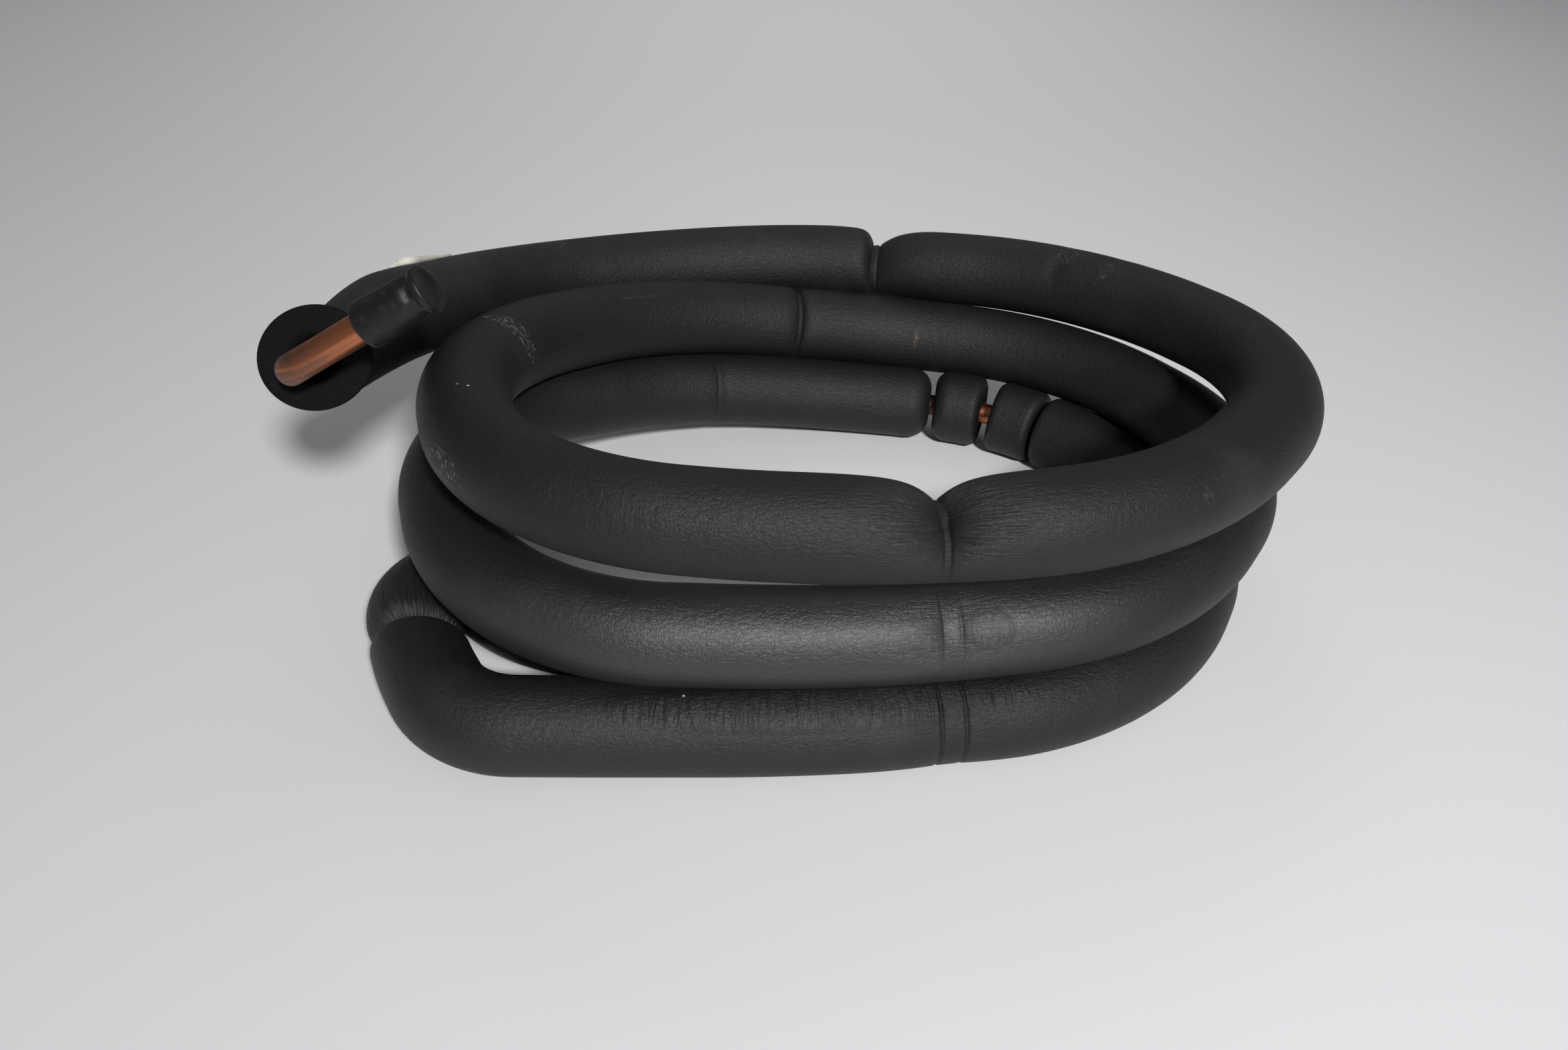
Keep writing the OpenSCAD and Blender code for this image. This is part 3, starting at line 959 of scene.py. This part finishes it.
class TUBECOIL_OT_stage(bpy.types.Operator):
    """Make the floor, the lamps and the camera"""

    bl_idname = "tube_coil.stage"
    bl_label = "Stage"

    def execute(self, context):
        scene = context.scene
        stage = scene.coil_stage
        scene.view_settings.view_transform = "Standard"
        self.floor(scene, stage)
        self.sky(scene, stage)
        self.lamp(scene, "key_lamp", stage.key, *KEY_LAMP)
        self.lamp(scene, "rear_lamp", stage.rear, *REAR_LAMP)
        self.camera(scene)
        return {"FINISHED"}

    def floor(self, scene, stage):
        h = FLOOR_HALF
        mesh = bpy.data.meshes.new("floor")
        mesh.from_pydata([(-h, -h, 0), (h, -h, 0), (h, h, 0), (-h, h, 0)], [], [(0, 1, 2, 3)])
        mesh.materials.append(floor_finish(stage))
        floor = bpy.data.objects.new("floor", mesh)
        scene.collection.objects.link(floor)

    def sky(self, scene, stage):
        world = bpy.data.worlds.new("soft_sky")
        world.use_nodes = True
        sky = world.node_tree.nodes["Background"]
        sky.inputs["Color"].default_value = (*stage.sky_tint, 1.0)
        sky.inputs["Strength"].default_value = stage.sky
        scene.world = world

    def lamp(self, scene, name, power, place, target, width, spread):
        data = bpy.data.lights.new(name, "AREA")
        data.spread = math.radians(spread)
        data.shape = "DISK"
        data.size = width
        data.energy = power
        lamp = bpy.data.objects.new(name, data)
        lamp.location = place
        lamp.rotation_euler = (Vector(target) - Vector(place)).to_track_quat("-Z", "Y").to_euler()
        scene.collection.objects.link(lamp)

    def camera(self, scene):
        ahead = Vector((0, math.cos(LOOK_DOWN), -math.sin(LOOK_DOWN)))
        level_up = Vector((0, math.sin(LOOK_DOWN), math.cos(LOOK_DOWN)))
        right = math.cos(ROLL) * Vector((1, 0, 0)) + math.sin(ROLL) * level_up
        up = right.cross(ahead)
        data = bpy.data.cameras.new("camera")
        data.lens = LENS
        data.sensor_width = FRAME_WIDTH
        data.clip_start = CLIP_START
        camera = bpy.data.objects.new("camera", data)
        turn = Matrix((right, up, -ahead)).transposed().to_4x4()
        camera.matrix_world = Matrix.Translation(Vector(AIM) - DISTANCE * ahead) @ turn
        scene.collection.objects.link(camera)
        scene.camera = camera


class TUBECOIL_OT_copper_tube(bpy.types.Operator):
    """Make the copper tube along the whole route"""

    bl_idname = "tube_coil.copper_tube"
    bl_label = "Copper tube"

    def execute(self, context):
        tube = context.scene.coil_tube
        route, foam_start = place_of(context)
        mesh = tube_mesh(route, tube, foam_start)
        add_piece("copper_tube_skin", mesh, copper_finish(tube), "copper", "copper_tube")
        return {"FINISHED"}


class TUBECOIL_OT_foam_sleeves(bpy.types.Operator):
    """Make the five foam sleeves with their strap marks and cut ends"""

    bl_idname = "tube_coil.foam_sleeves"
    bl_label = "Foam sleeves"

    def execute(self, context):
        foam = context.scene.coil_foam
        route, start = place_of(context)
        marks = strap_marks(route, foam)
        finish = foam_finish(foam)
        cut = cut_finish(foam)
        short_1 = route.turn_at(2, 0) + SHORT_FROM
        short_2 = short_1 + foam.short + foam.gap_wide
        short_1_end = short_1 + foam.short - 0.9 * MM
        short_2_end = short_2 + foam.short
        lower = short_2_end + foam.gap_narrow
        upper_end = short_1 - foam.gap_wide + 2.4 * MM
        lower_end = route.middles[max(route.middles) - TAIL_BEND_FROM_END] + 6 * MM
        tail = lower_end + 2 * MM
        tail_end = route.length - context.scene.coil_tube.stub
        rows = (
            ("sleeve_upper", Cut(start, 1.2 * MM, foam.lean, 145), Cut(upper_end, 10 * MM)),
            ("sleeve_short_1", Cut(short_1, 7 * MM), Cut(short_1_end, 4 * MM)),
            ("sleeve_short_2", Cut(short_2 + 0.7 * MM, 4.5 * MM, 0.05, 90), Cut(short_2_end, 4 * MM)),
            ("sleeve_lower", Cut(lower, 4 * MM), Cut(lower_end, 5 * MM, 0.28, -10)),
            ("sleeve_tail", Cut(tail, 8 * MM, 0.38, -10), Cut(tail_end, 2 * MM)),
        )
        for node, near, far in rows:
            name = node + "_foam"
            capped = node == "sleeve_upper"
            crumpled = node == "sleeve_tail"
            mesh = sleeve_mesh(name, route, foam, marks, near, far, capped, crumpled)
            piece = add_piece(name, mesh, finish, "foam", node)
            mesh.materials.append(cut)
        return {"FINISHED"}


class TUBECOIL_OT_end_cap(bpy.types.Operator):
    """Make the cap on the bent end of the tube"""

    bl_idname = "tube_coil.end_cap"
    bl_label = "End cap"

    def execute(self, context):
        cap = context.scene.coil_cap
        route, _ = place_of(context)
        add_piece("end_cap_skin", cap_mesh(route, cap), cap_finish(cap), "cap", "end_cap")
        return {"FINISHED"}


class TUBECOIL_OT_seam_tape(bpy.types.Operator):
    """Make the strip of tape on the free end"""

    bl_idname = "tube_coil.seam_tape"
    bl_label = "Seam tape"

    def execute(self, context):
        tape = context.scene.coil_tape
        route, start = place_of(context)
        mesh = tape_strip("seam_tape_strip", route, start + tape.start, tape)
        add_piece("seam_tape_strip", mesh, tape_finish(tape), "tape", "seam_tape")
        return {"FINISHED"}


class TUBECOIL_PT_panel(bpy.types.Panel):
    """Lists the pieces of the coil"""

    bl_label = "Tube coil"
    bl_idname = "TUBECOIL_PT_panel"
    bl_space_type = "VIEW_3D"
    bl_region_type = "UI"
    bl_category = "Tube coil"

    def draw(self, context):
        for operator in OPERATORS:
            self.layout.operator(operator.bl_idname)
        for name in GROUPS:
            box = self.layout.box()
            group = getattr(context.scene, name)
            for key in group.__annotations__:
                box.prop(group, key)


GROUPS = {
    "coil_tube": CoilTube,
    "coil_foam": CoilFoam,
    "coil_cap": CoilCap,
    "coil_tape": CoilTape,
    "coil_stage": CoilStage,
}
OPERATORS = (
    TUBECOIL_OT_stage,
    TUBECOIL_OT_copper_tube,
    TUBECOIL_OT_foam_sleeves,
    TUBECOIL_OT_end_cap,
    TUBECOIL_OT_seam_tape,
)


def register():
    for name, group in GROUPS.items():
        bpy.utils.register_class(group)
        setattr(bpy.types.Scene, name, bpy.props.PointerProperty(type=group))
    for operator in OPERATORS:
        bpy.utils.register_class(operator)
    bpy.utils.register_class(TUBECOIL_PT_panel)


def unregister():
    bpy.utils.unregister_class(TUBECOIL_PT_panel)
    for operator in reversed(OPERATORS):
        bpy.utils.unregister_class(operator)
    for name, group in reversed(GROUPS.items()):
        delattr(bpy.types.Scene, name)
        bpy.utils.unregister_class(group)


def main():
    register()
    bpy.ops.tube_coil.stage()
    bpy.ops.tube_coil.copper_tube()
    bpy.ops.tube_coil.foam_sleeves()
    bpy.ops.tube_coil.end_cap()
    bpy.ops.tube_coil.seam_tape()


if __name__ == "__main__":
    main()
